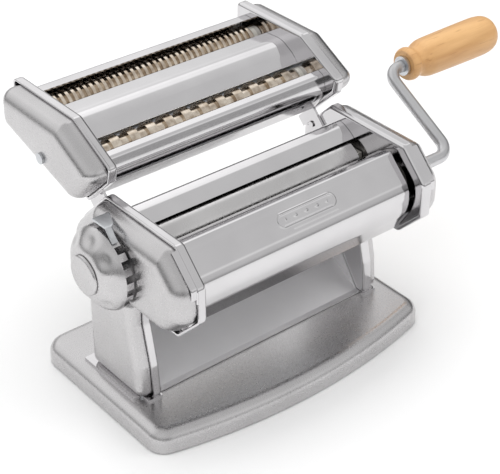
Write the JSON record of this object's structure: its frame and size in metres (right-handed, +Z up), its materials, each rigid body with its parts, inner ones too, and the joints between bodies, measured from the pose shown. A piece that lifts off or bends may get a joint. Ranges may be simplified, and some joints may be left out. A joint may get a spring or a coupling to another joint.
{
  "type": "pasta roller machine",
  "caption": "Hand-cranked pasta machine with two smooth sheet rollers, a notched thickness knob, a wood-gripped crank and a lift-off double cutter head on a bowed steel base.",
  "frame": {"origin": "middle of the base's footprint, on the surface that the machine stands on", "axes": "+Z up, +X along the rollers towards the crank, +Y to the back, where the cutter head hangs"},
  "size_m": [0.349, 0.1775, 0.1765],
  "materials": {
    "satin_steel": "satin",
    "chrome_steel": "polished",
    "ground_steel": "ground",
    "nickel_cutter": "satin",
    "zinc_steel": "plated",
    "gear_steel": "machined",
    "bearing_plastic": "matte",
    "crank_steel": "satin",
    "sleeve_steel": "satin",
    "beech": "varnished",
    "foot_rubber": "matte"
  },
  "bodies": {
    "body": {"base_plate": "satin_steel", "rubber_feet": "foot_rubber", "left_side_frame": "chrome_steel", "right_side_frame": "chrome_steel", "left_end_cover": "satin_steel", "right_end_cover": "satin_steel", "left_leg_cover": "satin_steel", "right_leg_cover": "satin_steel", "chute_panel": "chrome_steel", "front_cover": "chrome_steel", "rear_cover": "chrome_steel", "front_scraper": "zinc_steel", "rear_scraper": "zinc_steel", "body_tie_rods": "zinc_steel", "body_tie_rod_nuts": "zinc_steel", "base_screws": "zinc_steel", "drive_bushes": "bearing_plastic", "knob_bush": "bearing_plastic", "index_pin": "zinc_steel", "index_bracket": "zinc_steel", "hook_studs": "zinc_steel"},
    "front_roller": {"drive_roller": "ground_steel", "drive_gear": "gear_steel"},
    "roller_slider": {"roller_bearings": "bearing_plastic"},
    "rear_roller": {"adjustable_roller": "ground_steel", "driven_gear": "gear_steel"},
    "knob_spindle": {"knob_shaft": "zinc_steel", "knob_spring": "zinc_steel"},
    "knob": {"setting_knob": "satin_steel", "knob_cap": "satin_steel"},
    "crank": {"crank_rod": "crank_steel", "grip_washer": "zinc_steel"},
    "grip": {"wood_grip": "beech", "grip_sleeve": "sleeve_steel"},
    "cutter_head": {"cutter_left_frame": "chrome_steel", "cutter_right_frame": "chrome_steel", "cutter_left_cover": "satin_steel", "cutter_right_cover": "satin_steel", "cutter_rear_sheet": "chrome_steel", "cutter_mid_sheet": "chrome_steel", "cutter_front_sheet": "chrome_steel", "cutter_tie_rods": "zinc_steel", "cutter_tie_rod_nuts": "zinc_steel", "cutter_bushes": "bearing_plastic", "cutter_cover_screws": "zinc_steel", "fine_rear_comb": "zinc_steel", "fine_front_comb": "zinc_steel", "wide_rear_comb": "zinc_steel", "wide_front_comb": "zinc_steel", "cutter_hooks": "zinc_steel"},
    "fine_rear_roller": {"fine_cutter_rear": "nickel_cutter", "fine_rear_gear": "gear_steel"},
    "fine_front_roller": {"fine_cutter_front": "nickel_cutter", "fine_front_gear": "gear_steel"},
    "wide_rear_roller": {"wide_cutter_rear": "nickel_cutter", "wide_rear_gear": "gear_steel"},
    "wide_front_roller": {"wide_cutter_front": "nickel_cutter", "wide_front_gear": "gear_steel"}
  },
  "joints": [
    {"name": "roller_spin", "type": "hinge", "parent": "body", "child": "front_roller", "pos_m": [0, -0.039, 0.108], "axis": [1, 0, 0], "continuous": true},
    {"name": "knob_turn", "type": "hinge", "parent": "body", "child": "knob_spindle", "pos_m": [-0.1, -0.0057, 0.108], "axis": [1, 0, 0], "range_deg": [0, 100]},
    {"name": "roller_gap", "type": "slide", "parent": "body", "child": "roller_slider", "axis": [0, 1, 0], "range_m": [0, 0.002]},
    {"name": "rear_roller_spin", "type": "hinge", "parent": "roller_slider", "child": "rear_roller", "pos_m": [0, -0.0057, 0.108], "axis": [1, 0, 0], "continuous": true},
    {"name": "knob_pull", "type": "slide", "parent": "knob_spindle", "child": "knob", "axis": [-1, 0, 0], "range_m": [0, 0.0035], "stiffness_N_per_m": 900, "springref_m": -0.006},
    {"name": "crank_pull", "type": "slide", "parent": "front_roller", "child": "crank", "axis": [1, 0, 0], "range_m": [0, 0.03]},
    {"name": "grip_spin", "type": "hinge", "parent": "crank", "child": "grip", "pos_m": [0.19, 0.02024, 0.14138], "axis": [1, 0, 0], "continuous": true},
    {"name": "cutter_lift", "type": "slide", "parent": "body", "child": "cutter_head", "axis": [0, -0.7071, 0.7071], "range_m": [0, 0.04]},
    {"name": "fine_rear_spin", "type": "hinge", "parent": "cutter_head", "child": "fine_rear_roller", "pos_m": [0, 0.089, 0.1575], "axis": [1, 0, 0], "continuous": true},
    {"name": "fine_front_spin", "type": "hinge", "parent": "cutter_head", "child": "fine_front_roller", "pos_m": [0, 0.07297, 0.15467], "axis": [1, 0, 0], "continuous": true},
    {"name": "wide_rear_spin", "type": "hinge", "parent": "cutter_head", "child": "wide_rear_roller", "pos_m": [0, 0.0434, 0.1466], "axis": [1, 0, 0], "continuous": true},
    {"name": "wide_front_spin", "type": "hinge", "parent": "cutter_head", "child": "wide_front_roller", "pos_m": [0, 0.02991, 0.14422], "axis": [1, 0, 0], "continuous": true}
  ],
  "couplings": [
    {"joint": "rear_roller_spin", "follows": "roller_spin", "ratio": -1},
    {"joint": "knob_turn", "follows": "roller_gap", "rad_per_m": 872.58},
    {"joint": "fine_rear_spin", "follows": "fine_front_spin", "ratio": -1},
    {"joint": "wide_front_spin", "follows": "wide_rear_spin", "ratio": -1}
  ]
}
